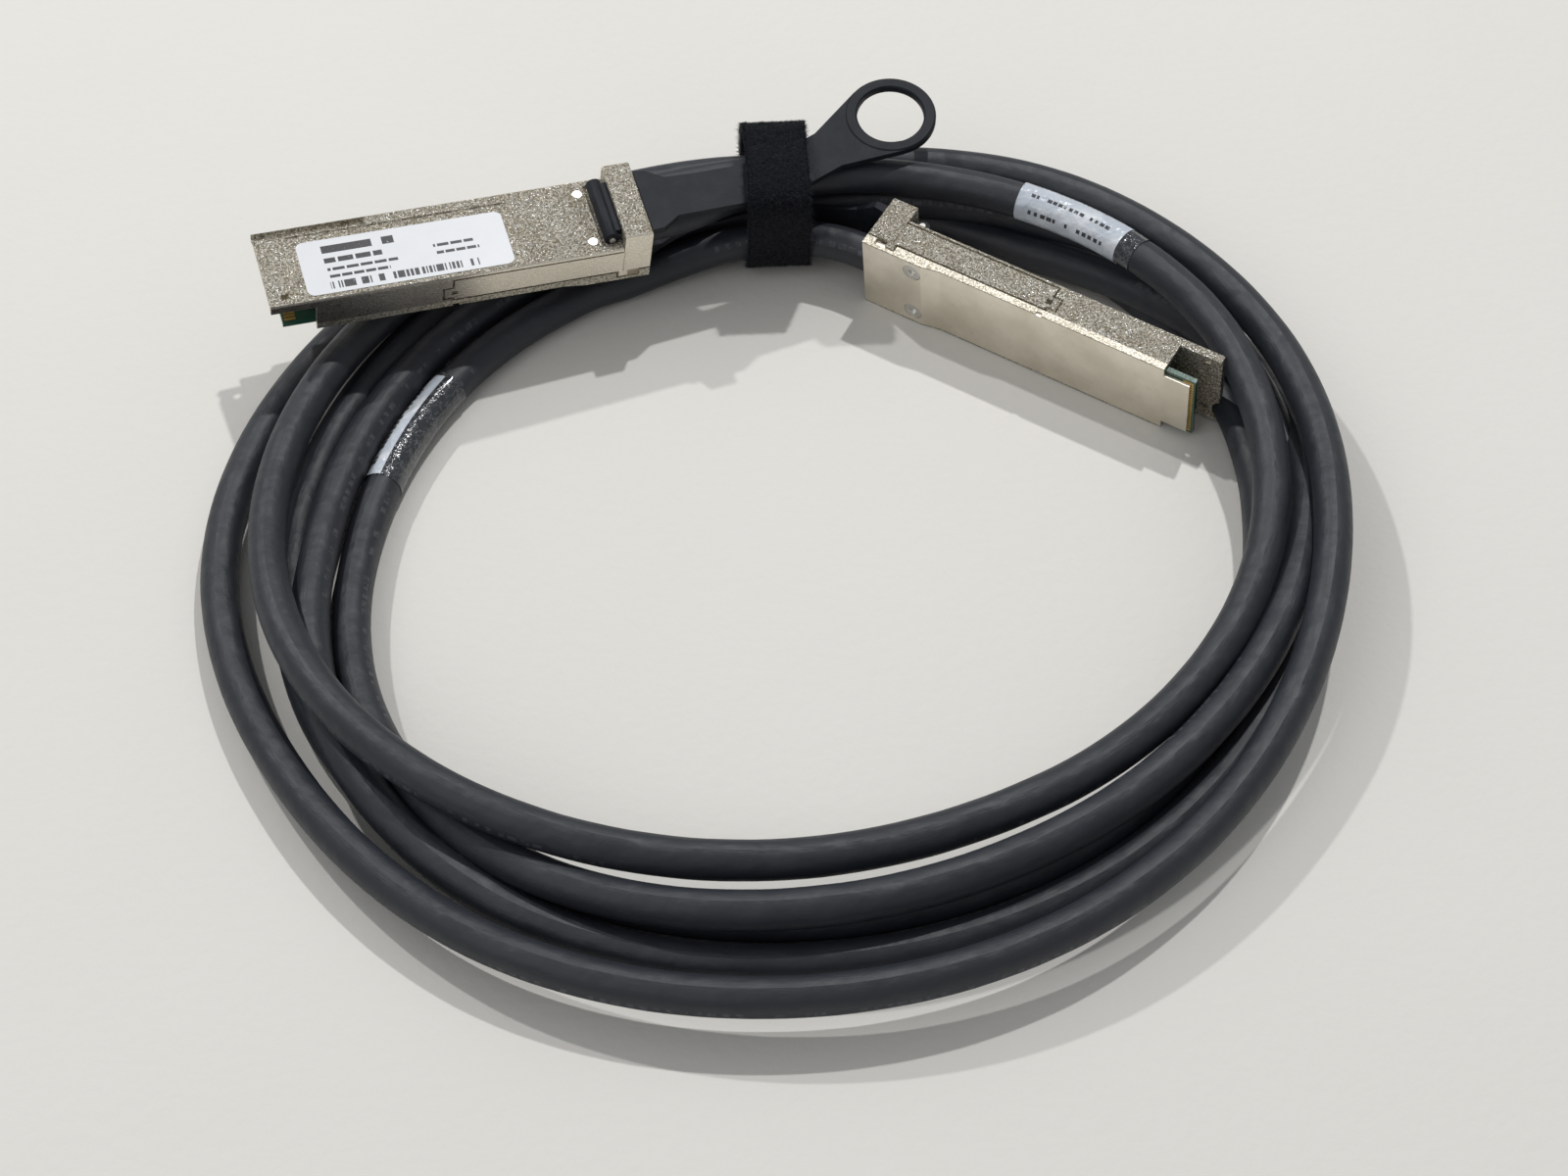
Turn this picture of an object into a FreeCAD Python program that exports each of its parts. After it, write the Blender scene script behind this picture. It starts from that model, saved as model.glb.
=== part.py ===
import FreeCAD, Part
import math
import os

# Direct attach copper cable: two pluggable metal ends on one coiled cable, held by a strap.
# Millimetres, +Z up. Plug places are local: x from the rear face to the nose, z up from the roof.

# driving dimensions of a plug
plug_length = 74.3
plug_width = 18.35
body_height = 8.5
rear_step = 0.7
lower_wall = 1.5
floor_wall = 0.7
roof = 1.3
side_wall = 0.8
cable_diameter = 7.1
clamp_length = 14.0
nose_window = 8.7
floor_set_back = 3.3
lip_depth = 2.0
card_thickness = 1.0
screw_x = 11.0
screw_y = 6.0
screw_radius = 1.0
screw_head = 1.9
screw_sink = 0.9
card_start = 30.0
label_start = 26.7
label_end = 66.8
label_recess = 0.25
wire_radius = 0.42

# driving dimensions of the latch and its pull tab
latch_travel = 2.2
band_length = 5.5
band_rise = 3.5
arm_length = 39.0
arm_thickness = 0.925
hook_length = 1.9
hook_low = 6.0
hook_high = 3.4
tooth_x = 4.5
tooth_length = 1.8
tooth_depth = 1.1
spring_start = 17.0
spring_room_end = 27.5
spring_low = 7.15
lug_x = 25.1
lug_length = 1.8
tab_width = 9.4
tab_thickness = 1.4
bar_x = 7.6
bar_radius = 1.5
pin_radius = 0.6
ring_outer = 9.05
ring_inner = 6.65
ring_height = 1.9

# clearances and fits
running = 0.1
fit = 0.05
pad_gap = 0.15
arm_gap = 0.4

# derived
half = plug_width / 2
cable_radius = cable_diameter / 2
cable_depth = body_height - cable_radius - fit
split_height = body_height - lower_wall
rear_height = body_height + rear_step
arm_face = half - arm_thickness
front_half = half - side_wall
nose_start = plug_length - nose_window
floor_end = plug_length - floor_set_back
arm_low = split_height - arm_gap
arm_high = 1.1
card_level = -(body_height - floor_wall - running - card_thickness / 2)
card_top = card_level + card_thickness / 2
card_front = floor_end + 0.9
card_half = front_half - 0.3

# places of the two plugs and of the coil in the shared frame
coil_x = 9.1
coil_y = -68.93
plug_b_lean = 7.0
plug_a_origin = (-28.75, 71.6, 23.1)
plug_a_turn = (-161.9, -4.0, -7.2)
plug_b_turn = (-31.0, 0.0, plug_b_lean - 90.0)
lean = math.radians(plug_b_lean)
plug_b_origin = (19.74, 76.85, half * math.cos(lean) + rear_height * math.sin(lean) + fit)

# turns of the coil: (radius, height) every 30 degrees, clockwise from the strap
turns = (
    ((87, 17), (93.5, 17), (95, 17.4), (88.5, 14), (78.5, 11), (72.5, 11.5),
     (73.5, 12), (81.5, 16), (90, 17), (94.5, 12.5), (95.5, 10.5), (96.5, 9)),
    ((97.5, 16.6), (103.5, 16), (105.5, 13.5), (100.5, 15), (97, 11), (96, 10),
     (96.5, 9), (98, 8), (100, 6), (102, 4), (102, 3.8), (102.5, 4.5)),
    ((100, 9.6), (98, 3.8), (95.5, 3.7), (88, 3.7), (84.5, 3.7), (81, 4),
     (80, 4.3), (84, 3.7), (90.5, 3.7), (90.5, 3.7), (91, 3.7), (94.5, 3.7)),
    ((94.5, 5.1), (91, 5.2), (99, 10.4), (95, 3.7), (91.5, 3.8), (88.5, 4),
     (88, 4), (91.5, 6), (91, 10.3), (84.5, 8.3), (84.5, 5.5), (87, 3.9)),
    ((88.6, 9.2), (98, 10.8), (102.5, 4.2), (95, 10.8), (86, 11), (81.5, 11.8),
     (82.5, 12), (86, 10.7), (83.5, 7), (78, 3.8), (77, 3.7), (77.5, 4.1)),
)
station_step = 30
coil_stations = 36

os.makedirs("parts", exist_ok=True)


def vec(x, y, z):
    return FreeCAD.Vector(x, y, z)


def box(x0, x1, y0, y1, z0, z1):
    return Part.makeBox(x1 - x0, y1 - y0, z1 - z0, vec(x0, y0, z0))


def rod(radius, start, end):
    way = end - start
    return Part.makeCylinder(radius, way.Length, start, way)


def circle_points(sides, radius, centre, across, up):
    steps = [2 * math.pi * k / sides for k in range(sides)]
    return [centre + across * (radius * math.cos(a)) + up * (radius * math.sin(a)) for a in steps]


def sided_rod(sides, radius, start, end):
    """Rod along x or z with a few flat sides, for round pieces that stay hidden."""
    way = end - start
    across = way.cross(vec(0, 1, 0)).normalize()
    up = way.cross(across).normalize()
    outline = circle_points(sides, radius, start, across, up)
    return Part.Face(Part.makePolygon(outline + outline[:1])).extrude(way)


def skin(sections, closed=False):
    """Solid of flat triangles between outlines that follow one another."""
    count = len(sections)
    corners = len(sections[0])
    rings = []
    for i in range(count if closed else count - 1):
        a, b = sections[i], sections[(i + 1) % count]
        for j in range(corners):
            k = (j + 1) % corners
            rings += [[a[j], b[j], b[k]], [a[j], b[k], a[k]]]
    if not closed:
        rings += [sections[0], sections[-1][::-1]]
    faces = [Part.Face(Part.makePolygon(ring + ring[:1])) for ring in rings]
    solid = Part.Solid(Part.Shell(faces))
    if solid.Volume < 0:
        solid.reverse()
    return solid


def both_sides(make):
    """One solid on each side of the plug's middle plane."""
    return [make(1), make(-1)]


def side_box(side, x0, x1, y0, y1, z0, z1):
    return box(x0, x1, min(side * y0, side * y1), max(side * y0, side * y1), z0, z1)


def bore(radius, x0, x1):
    return rod(radius, vec(x0, 0, -cable_depth), vec(x1, 0, -cable_depth))


def joined(solids):
    return solids[0].fuse(solids[1:]).removeSplitter()


# ---------------------------------------------------------------- plug pieces, local frame

def rounded_block(x0, x1, z0, z1, radius):
    """Block of the plug's width with its long top edges rounded."""
    block = box(x0, x1, -half, half, z0, z1)
    edges = [e for e in block.Edges
             if abs(e.BoundBox.XLength - (x1 - x0)) < 1e-6 and e.BoundBox.ZMin > z1 - 1e-6]
    return block.makeFillet(radius, edges)


def upper_shell():
    body = rounded_block(0, plug_length, -split_height, 0, 0.5)
    inner_half = arm_face - running - 1.75
    arm_room = arm_length + arm_gap
    hook_end = arm_length + hook_length + arm_gap
    groove = nose_start + nose_window - 5.3
    cuts = [
        box(clamp_length, hook_end + 1, -inner_half, inner_half, -rear_height, -roof),
        box(hook_end + 1, plug_length + 1, -front_half, front_half, -rear_height, -roof),
        bore(cable_radius + fit, -1, clamp_length + 1),
        box(-1, bar_x + bar_radius + 0.4, -7.7, 7.7, -0.6, 1),
        box(label_start - 1.5, label_end + 1.5, -6.9, 8.2, -label_recess, 1),
        box(nose_start - 13, plug_length + 1, -8.85, -7.2, -1.0, 1),
        box(groove, groove + 1.2, -7.2, 7.7, -0.25, 1),
        box(12.1, 12.4, -half - 1, half + 1, -0.15, 1),
    ]
    for side in (1, -1):
        cuts += [
            side_box(side, -1, arm_room, arm_face - running, half + 1, -split_height - 1,
                     arm_gap - arm_high),
            side_box(side, arm_room - 1, hook_end, arm_face - running, half + 1,
                     -hook_low - arm_gap, -hook_high + arm_gap),
            side_box(side, -1, band_length + running, arm_face - running, half + 1, -1.5, 1),
            side_box(side, spring_start, spring_room_end, spring_low - 0.2, half, -5.6, -2.2),
            side_box(side, nose_start, plug_length + 1, front_half - 1, half + 1,
                     -split_height - 1, -lip_depth),
            side_box(side, plug_length - 3.9, plug_length - 2.5, 6.4, 7.6, -roof - 1, 1),
            rod(screw_radius + fit, vec(screw_x, side * screw_y, -rear_height),
                vec(screw_x, side * screw_y, 1)),
        ]
    return body.cut(cuts)


def lower_shell():
    rear_pad = 13.0
    ramp_end = 17.0
    outline = [(0, -rear_height), (rear_pad, -rear_height), (ramp_end, -body_height),
               (nose_start, -body_height), (nose_start, -split_height), (0, -split_height),
               (0, -rear_height)]
    plate = Part.Face(Part.makePolygon([vec(x, -half, z) for x, z in outline]))
    plate = plate.extrude(vec(0, plug_width, 0))
    nose = box(nose_start, floor_end, -half + 2, half - 2, -body_height, -split_height)
    notch_start = tooth_x - latch_travel - running
    notch_end = tooth_x + tooth_length + arm_gap
    notch_floor = -split_height - tooth_depth - arm_gap
    cuts = [bore(cable_radius + fit, -1, clamp_length), bore(3.0, clamp_length - 1, ramp_end + 4),
            box(ramp_end + 3, card_start + 20, -6, 6, -body_height + floor_wall, 0),
            box(card_start + 17, plug_length, -card_half - 0.2, card_half + 0.2,
                -body_height + floor_wall, 0)]
    for side in (1, -1):
        centre = vec(screw_x, side * screw_y, -rear_height)
        cuts += [rod(screw_head + fit, centre, centre + vec(0, 0, screw_sink + fit)),
                 rod(screw_radius + fit, centre, vec(screw_x, side * screw_y, 0)),
                 side_box(side, notch_start, notch_end, arm_face - running, half + 1,
                          notch_floor, 0),
                 side_box(side, arm_length - 1, arm_length + 0.2, half - 0.4, half + 1,
                          -body_height - 1, -body_height + 0.7)]
    return plate.fuse(nose).cut(cuts)


def latch_yoke():
    """Band over the roof with the tab's slot, and a spring arm down each side."""
    bridge = box(0, band_length, -half, half, pad_gap, band_rise)
    edges = [e for e in bridge.Edges if e.BoundBox.ZMin > band_rise - 1e-6]
    bridge = bridge.makeFillet(0.45, edges)
    solids = [bridge]
    for side in (1, -1):
        solids += [
            side_box(side, 0, band_length, arm_face, half, -arm_low, 1.0),
            side_box(side, 0, arm_length, arm_face, half, -arm_low, -arm_high),
            side_box(side, arm_length - 1, arm_length + hook_length, arm_face, half,
                     -hook_low, -hook_high),
            side_box(side, tooth_x, tooth_x + tooth_length, arm_face, half,
                     -split_height - tooth_depth, -arm_low + 0.5),
            side_box(side, lug_x, lug_x + lug_length, spring_low - 0.1, arm_face + 0.1, -4.6, -3.2),
        ]
    yoke = joined(solids)
    slot_half = 6.3
    cuts = [box(-1, band_length + 1, -slot_half, slot_half, pad_gap - 1, 1 + tab_thickness),
            box(1.2, band_length - 1.2, -5.4, 5.4, 2, band_rise - 0.6)]
    for side in (1, -1):
        cuts += [side_box(side, arm_length - 0.7, arm_length + 0.5, arm_face - 1, half + 1,
                          -hook_low + 0.8, -hook_high - 0.8),
                 side_box(side, band_length - 0.15, band_length + running, half - 0.25, half + 1,
                          -arm_low, -arm_high)]
    return yoke.cut(cuts)


def return_spring(side):
    """Zigzag leaf that the arm's lug presses when the tab is pulled."""
    start = spring_start + running
    end = lug_x - pad_gap
    leaf = 0.22
    folds = 8
    low, high = spring_low, spring_low + 0.7
    xs = [start + (end - start) * i / folds for i in range(folds + 1)]
    ys = [low if i % 2 else high for i in range(folds + 1)]
    upper = [vec(x, y + leaf / 2, -5.2) for x, y in zip(xs, ys)]
    lower = [vec(x, y - leaf / 2, -5.2) for x, y in zip(xs, ys)]
    ring = upper + lower[::-1] + upper[:1]
    leafy = Part.Face(Part.makePolygon(ring)).extrude(vec(0, 0, 2.6))
    if side < 0:
        leafy = leafy.mirror(vec(0, 0, 0), vec(0, 1, 0))
    return leafy


def ribbon(stations):
    """Strap through stations of (x, y, z, width, thickness, twist about the way it runs)."""
    points = [vec(*s[:3]) for s in stations]
    sections = []
    for i, station in enumerate(stations):
        ahead = points[min(i + 1, len(points) - 1)] - points[max(i - 1, 0)]
        ahead.normalize()
        across = ahead.cross(vec(0, 0, 1))
        across.normalize()
        across = FreeCAD.Rotation(ahead, station[5]).multVec(across)
        up = across.cross(ahead)
        w, t = station[3] / 2, station[4] / 2
        sections.append([points[i] + across * (a * w) + up * (b * t)
                         for a, b in ((1, 1), (-1, 1), (-1, -1), (1, -1))])
    return skin(sections), points[-1], ahead, across, up


def finger_ring(centre, axis, across):
    """Ring with chamfered edges, turned from its section."""
    chamfer = 0.35
    low, high = -ring_height / 2, ring_height / 2
    section = ((ring_inner, low + chamfer), (ring_inner + chamfer, low),
               (ring_outer - chamfer, low), (ring_outer, low + chamfer),
               (ring_outer, high - chamfer), (ring_outer - chamfer, high),
               (ring_inner + chamfer, high), (ring_inner, high - chamfer))
    outline = [centre + across * r + axis * z for r, z in section]
    return Part.Face(Part.makePolygon(outline + outline[:1])).revolve(centre, axis, 360)


def ring_flare(end, ahead, across, up, reach, width, thickness):
    """Flat web whose two edges run straight from the strap to touch the ring."""
    distance = math.hypot(reach, width / 2)
    turn = math.acos(ring_outer / distance) + math.atan2(width / 2, reach)
    along = reach - ring_outer * math.cos(turn)
    aside = ring_outer * math.sin(turn)
    outline = ((0, width / 2), (along, aside), (reach, 0), (along, -aside), (0, -width / 2))
    low = end - up * (thickness / 2)
    ring = [low + ahead * a + across * b for a, b in outline]
    return Part.Face(Part.makePolygon(ring + ring[:1])).extrude(up * thickness)


def pull_tab(stations, reach):
    """Strap from the moulded bar under the band to its finger ring."""
    bar_half = 7.0
    bar_z = pad_gap - 0.6 + bar_radius
    bar = rod(bar_radius, vec(bar_x, -bar_half, bar_z), vec(bar_x, bar_half, bar_z))
    tongue = box(-0.5, bar_x, -6, 6, 0.8, 0.8 + tab_thickness)
    strap, end, ahead, across, up = ribbon(stations)
    centre = end + ahead * reach
    width, thickness = stations[-1][3:5]
    flare = ring_flare(end, ahead, across, up, reach, width, thickness)
    ring = finger_ring(centre, up, across)
    hole = Part.makeCylinder(ring_inner, 2 * ring_height, centre - up * ring_height, up)
    pin = rod(pin_radius, vec(bar_x, -bar_half - 0.5, bar_z), vec(bar_x, bar_half + 0.5, bar_z))
    solid = bar.fuse([tongue, strap, flare.cut(hole), ring]).cut(pin)
    return solid.removeSplitter(), pin, centre


tab_a_reach = 15.0
tab_a_stations = (
    (-0.4, 0, 1.5, 15, 1.6, 0), (-2.8, 0, 1.5, 14.4, 1.6, 0), (-6.2, -0.1, 1.4, 9.8, 1.5, 0),
    (-13, -0.2, 1.3, tab_width, tab_thickness, 0), (-20, -0.4, 1.2, tab_width, tab_thickness, 0),
    (-28, -1.4, 1.3, tab_width, tab_thickness, 0), (-34, -2.75, 1.5, tab_width, tab_thickness, 0),
    (-39.8, -4.6, 2.3, tab_width, tab_thickness, 0),
)
tab_b_reach = 12.5
tab_b_stations = (
    (-0.4, 0, 1.5, 14, 2.0, 0), (-3, 0, 1.4, 14, 1.6, 3), (-7, 0.3, 0.4, tab_width, 1.0, 6),
    (-16.9, 0.6, -3.5, 8.8, 1.0, 7), (-25.4, 0, -7.9, 8.6, 1.0, 8), (-31.9, -0.5, -12.9, 8.4, 1.0, -6),
    (-36.5, -1.9, -17.6, 8, 1.0, -49), (-38.6, -2.1, -19.8, 8, 1.0, -65),
    (-40.5, -2.45, -22.3, 8.4, 1.2, -78),
)


def screws():
    solids = []
    for side in (1, -1):
        y = side * screw_y
        foot = -rear_height + fit
        neck = -rear_height + screw_sink
        head = rod(screw_head, vec(screw_x, y, foot), vec(screw_x, y, neck))
        shaft = sided_rod(16, screw_radius, vec(screw_x, y, neck), vec(screw_x, y, -fit))
        socket = sided_rod(6, 0.85, vec(screw_x, y, foot), vec(screw_x, y, foot + 0.5))
        solids.append(head.fuse(shaft).removeSplitter().cut(socket))
    return solids


def paddle_card():
    low = card_level - card_thickness / 2
    narrow = box(card_start, card_start + 19, -5.9, 5.9, low, card_top)
    wide = box(card_start + 18, card_front, -card_half, card_half, low, card_top)
    return joined([narrow, wide])


def contact_pads():
    count = 19
    pitch = 0.8
    width = 0.56
    length = 2.2
    plating = 0.05
    solids = []
    for face in (card_top, card_top - card_thickness - plating):
        for i in range(count):
            y = (i - (count - 1) / 2) * pitch
            solids.append(box(card_front - 0.4 - length, card_front - 0.4,
                              y - width / 2, y + width / 2, face, face + plating))
    return solids


def card_chips():
    height = 0.9
    places = ((19.9, -4.2, 3.2, 2.4), (19.9, 4.2, 3.2, 2.4), (13.9, 0, 2.2, 4.0),
              (9.4, -5, 1.2, 2.0), (9.4, 5, 1.2, 2.0))
    solids = []
    for back, y, a, b in places:
        x = card_front - back
        solids.append(box(x - a / 2, x + a / 2, y - b / 2, y + b / 2, card_top, card_top + height))
    return solids


def crimp_ferrule():
    start = vec(clamp_length + 0.2, 0, -cable_depth)
    end = start + vec(5.8, 0, 0)
    return sided_rod(16, 2.9, start, end).cut(sided_rod(16, 2.4, start, end))


def wire_pairs():
    """Eight conductors from the cable to the card, in two rows."""
    pitch = 2 * wire_radius + fit
    solids = []
    for row in (0, 1):
        level = card_top + wire_radius + fit + row * pitch
        for place in (-1.5, -0.5, 0.5, 1.5):
            start = vec(clamp_length + 0.6, place * pitch, level)
            end = vec(card_start + 3, place * pitch, level)
            solids.append(sided_rod(6, wire_radius, start, end))
    return solids


def label():
    plate = box(label_start, label_end, -5.1, 7.8, -label_recess, -label_recess + 0.12)
    edges = [e for e in plate.Edges if e.BoundBox.ZLength > 0.1]
    return plate.makeFillet(1.5, edges)


# ---------------------------------------------------------------- cable pieces, coil frame

def turn_place(turn, angle):
    """Centre of one turn at an angle, between its 30 degree stations."""
    steps = (90 - angle) / station_step
    index = int(math.floor(steps))
    part = steps - index
    blend = part * part * (3 - 2 * part)
    r0, z0 = station(turn, index)
    r1, z1 = station(turn, index + 1)
    return r0 + (r1 - r0) * blend, z0 + (z1 - z0) * blend


def station(turn, index):
    while index > 11:
        index -= 12
        turn = min(turn + 1, len(turns) - 1)
    return turns[turn][index]


def polar(radius, angle, height):
    a = math.radians(angle)
    return vec(radius * math.cos(a), radius * math.sin(a), height)


def under_plug(angle):
    """Highest level that the coil may fill, below plug A and its neighbour's ring."""
    if 100 < angle < 135:
        return 7.4
    if 135 <= angle < 178:
        return 13.4 + (angle - 135) * 0.08
    return 40.0


def coil():
    """Closed solid of the outer shape of all turns: an octagon section round the ring."""
    sections = []
    for i in range(coil_stations):
        angle = 90 - i * 360 / coil_stations
        lanes = [turn_place(t, angle) for t in range(len(turns))]
        if 84 < angle or angle < -255:
            lanes = lanes[1:]
        inner = min(r for r, z in lanes) - cable_radius
        outer = max(r for r, z in lanes) + cable_radius
        low = max(min(z for r, z in lanes) - cable_radius, 0.05)
        high = min(max(z for r, z in lanes) + cable_radius, under_plug(angle % 360))
        if 80 <= angle:
            inner = max(inner, 86.2)
        if angle <= -250:
            inner = max(inner, 90.5)
        c = min(0.29 * (high - low), 3.0)
        outline = ((inner, low + c), (inner + c, low), (outer - c, low), (outer, low + c),
                   (outer, high - c), (outer - c, high), (inner + c, high), (inner, high - c))
        sections.append([polar(r, angle, z) for r, z in outline])
    return skin(sections, closed=True)


def tube(points, radius):
    """Straight runs joined by tangent arcs, each as large as its two runs allow."""
    edges = []
    start = points[0]
    length = 0.0
    for i in range(1, len(points) - 1):
        back = points[i - 1] - points[i]
        on = points[i + 1] - points[i]
        turn = math.pi - back.getAngle(on)
        reach = 0.45 * min(back.Length, on.Length)
        print("arc radius", round(reach / math.tan(turn / 2), 1))
        back.normalize()
        on.normalize()
        first = points[i] + back * reach
        last = points[i] + on * reach
        bend = reach / math.tan(turn / 2)
        inward = back + on
        inward.normalize()
        middle = points[i] + inward * (bend / math.cos(turn / 2) - bend)
        edges.append(Part.LineSegment(start, first).toShape())
        edges.append(Part.Arc(first, middle, last).toShape())
        length += (first - start).Length + bend * turn
        start = last
    edges.append(Part.LineSegment(start, points[-1]).toShape())
    length += (points[-1] - start).Length
    sides = 12
    full = radius * math.sqrt(math.pi / (sides / 2 * math.sin(2 * math.pi / sides)))
    ahead = points[1] - points[0]
    ahead.normalize()
    across = ahead.cross(vec(0, 0, 1))
    across.normalize()
    outline = circle_points(sides, full, points[0], across, across.cross(ahead))
    ring = Part.makePolygon(outline + outline[:1])
    solid = Part.Wire(edges).makePipeShell([ring], True, False)
    print("tube", round(length, 1), "volume over section",
          round(solid.Volume / (math.pi * radius ** 2 * length), 4))
    return solid


def marker(turn, start, end):
    """Wrapped marker: a sleeve with many flat sides along one turn."""
    sides = 16
    steps = 5
    wall = 0.25
    sections = []
    for i in range(steps + 1):
        angle = start + (end - start) * i / steps
        radius, height = turn_place(turn, angle)
        sections.append(circle_points(sides, cable_radius + wall, polar(radius, angle, height),
                                      polar(1, angle, 0), vec(0, 0, 1)))
    return skin(sections)


strap_width = 14.4
strap_thickness = 1.2
strap_x = -2.8
strap_turn = 7.0
strap_inner = ((74.9, 8.0), (73.0, 24.4), (91.7, 24.9), (99.5, 20.6), (102.6, 16), (104, 9.5),
               (98.5, 1.5), (90, 1.5), (78, 3.9))


def strap():
    """Hook-and-loop band once round the bundle and the pull tab."""
    centre = [sum(p[i] for p in strap_inner) / len(strap_inner) for i in (0, 1)]
    outer = []
    for y, z in strap_inner:
        away = math.hypot(y - centre[0], z - centre[1])
        grow = 1 + strap_thickness / (0.86 * away)
        outer.append((centre[0] + (y - centre[0]) * grow,
                      max(centre[1] + (z - centre[1]) * grow, 0.05)))
    x0 = strap_x - strap_width / 2

    def prism(outline):
        ring = [vec(x0, y, z) for y, z in outline]
        return Part.Face(Part.makePolygon(ring + ring[:1])).extrude(vec(strap_width, 0, 0))

    band = prism(outer).cut(prism(strap_inner))
    band.rotate(vec(strap_x, centre[0], 0), vec(0, 0, 1), strap_turn)
    return band


# ---------------------------------------------------------------- assembly

coil_frame = FreeCAD.Placement(vec(coil_x, coil_y, 0), FreeCAD.Rotation())


def plug_frame(origin, turn):
    local = FreeCAD.Placement(vec(*origin), FreeCAD.Rotation(*turn))
    return coil_frame.multiply(local)


def placed(solids, frame):
    if not isinstance(solids, list):
        solids = [solids]
    copies = []
    for solid in solids:
        one = solid.copy()
        one.Placement = frame.multiply(one.Placement)
        copies.append(one)
    return copies[0] if len(copies) == 1 else Part.makeCompound(copies)


def save(name, shape):
    count = len(shape.Solids)
    print(name, "solids", count, "valid", shape.isValid(), "volume", round(shape.Volume, 1))
    shape.exportStep("parts/" + name + ".step")
    nodes[name] = shape


nodes = {}
frames = {"a": plug_frame(plug_a_origin, plug_a_turn), "b": plug_frame(plug_b_origin, plug_b_turn)}
plain = {
    "upper_shell": upper_shell(),
    "lower_shell": lower_shell(),
    "latch_yoke": latch_yoke(),
    "return_springs": both_sides(return_spring),
    "shell_screws": screws(),
    "paddle_card": paddle_card(),
    "contact_pads": contact_pads(),
    "card_chips": card_chips(),
    "crimp_ferrule": crimp_ferrule(),
    "wire_pairs": wire_pairs(),
    "label": label(),
}
tabs = (("a", tab_a_stations, tab_a_reach), ("b", tab_b_stations, tab_b_reach))
for end, stations, reach in tabs:
    for name, shape in plain.items():
        save("plug_" + end + "_" + name, placed(shape, frames[end]))
    tab, pin, ring_centre = pull_tab(stations, reach)
    save("plug_" + end + "_pull_tab", placed(tab, frames[end]))
    save("plug_" + end + "_tab_pin", placed(pin, frames[end]))
    print("ring centre", end, frames[end].multVec(ring_centre))

own = Part.makeCompound(list(nodes.values())).BoundBox
print("plugs box", own)


def local_point(end, x):
    return frames[end].multVec(vec(x, 0, -cable_depth))


def coil_point(radius, angle, height):
    return coil_frame.multVec(polar(radius, angle, height))


lead_a = [local_point("a", 2), local_point("a", -9), coil_point(82.5, 97.5, 17.6),
          coil_point(87.5, 87, 17.3), coil_point(90.5, 77, 17.5)]
lead_b = [local_point("b", 3), local_point("b", -6), coil_point(78.4, 87.8, 9.2),
          coil_point(78.9, 94.4, 8.2), coil_point(78.9, 101.3, 6.4), coil_point(78.1, 108.2, 4.7),
          coil_point(77.2, 115.5, 4.1), coil_point(76.9, 122.5, 4.1)]

plug_b_room = placed(box(-8, plug_length + 1, -half - 5, half + 5, -16, 0.7), frames["b"])
ring_of_turns = placed(coil(), coil_frame).cut(plug_b_room)
save("cable_coil", ring_of_turns)
save("cable_lead_a", tube(lead_a, cable_radius))
save("cable_lead_b", tube(lead_b, cable_radius))
save("cable_marker_a", placed(marker(0, 45, 62), coil_frame))
save("cable_marker_b", placed(marker(4, 149, 168), coil_frame))
save("cable_strap", placed(strap(), coil_frame))
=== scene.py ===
# %% [markdown]
# # A coiled direct attach cable with two pluggable metal ends
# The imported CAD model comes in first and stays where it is. Everything made here is fitted to it:
# the long cable, its two wrapped markers, the strap round the bundle, and a finish for every piece.

# %% Load the frame
import bisect
import bpy
import math
import random
from mathutils import Euler, Matrix, Vector, noise


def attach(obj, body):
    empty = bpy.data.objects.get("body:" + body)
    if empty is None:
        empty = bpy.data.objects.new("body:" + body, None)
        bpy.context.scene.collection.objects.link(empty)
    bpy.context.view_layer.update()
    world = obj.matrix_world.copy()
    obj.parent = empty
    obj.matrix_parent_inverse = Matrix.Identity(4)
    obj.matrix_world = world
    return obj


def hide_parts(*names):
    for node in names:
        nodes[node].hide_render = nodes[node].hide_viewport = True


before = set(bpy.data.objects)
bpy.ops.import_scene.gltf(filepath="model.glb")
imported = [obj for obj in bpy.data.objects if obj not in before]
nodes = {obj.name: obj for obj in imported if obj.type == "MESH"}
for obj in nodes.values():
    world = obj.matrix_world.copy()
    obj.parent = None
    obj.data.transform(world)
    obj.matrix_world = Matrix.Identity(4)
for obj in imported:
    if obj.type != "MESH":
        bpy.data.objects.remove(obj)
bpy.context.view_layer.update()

# %% [markdown]
# The scene is measured in metres and the parts list in millimetres, so one helper turns
# millimetres into metres. The coil has its own centre on the floor, and every turn is given as a
# radius, an angle and a height from it, which is how a person would describe a coil.

# %% Units and the coil's own frame
MM = 0.001
coil_centre = Vector((9.1, -68.93, 0)) * MM


def coil_point(radius, angle, height):
    a = math.radians(angle)
    return coil_centre + Vector((radius * math.cos(a), radius * math.sin(a), height)) * MM


def plug_frame(origin, turn):
    """Placement of a plug: x from its rear face to its nose, z up out of its roof."""
    yaw, pitch, roll = (math.radians(t) for t in turn)
    place = Matrix.Translation(coil_centre + Vector(origin) * MM)
    return place @ Euler((roll, pitch, yaw)).to_matrix().to_4x4()


plug_a = plug_frame((-28.75, 71.6, 23.1), (-161.9, -4.0, -7.2))
plug_b = plug_frame((19.74, 76.85, 10.278), (-31.0, 0.0, -83.0))
plug_half_width = 18.35 / 2
cable_depth = 4.9
cable_diameter = 7.1 * MM
cable_radius = cable_diameter / 2
print("plugs at", [tuple(round(c, 3) for c in plug.translation) for plug in (plug_a, plug_b)])


def on_plug(plug, x, y=0.0, z=-cable_depth):
    return plug @ (Vector((x, y, z)) * MM)


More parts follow.
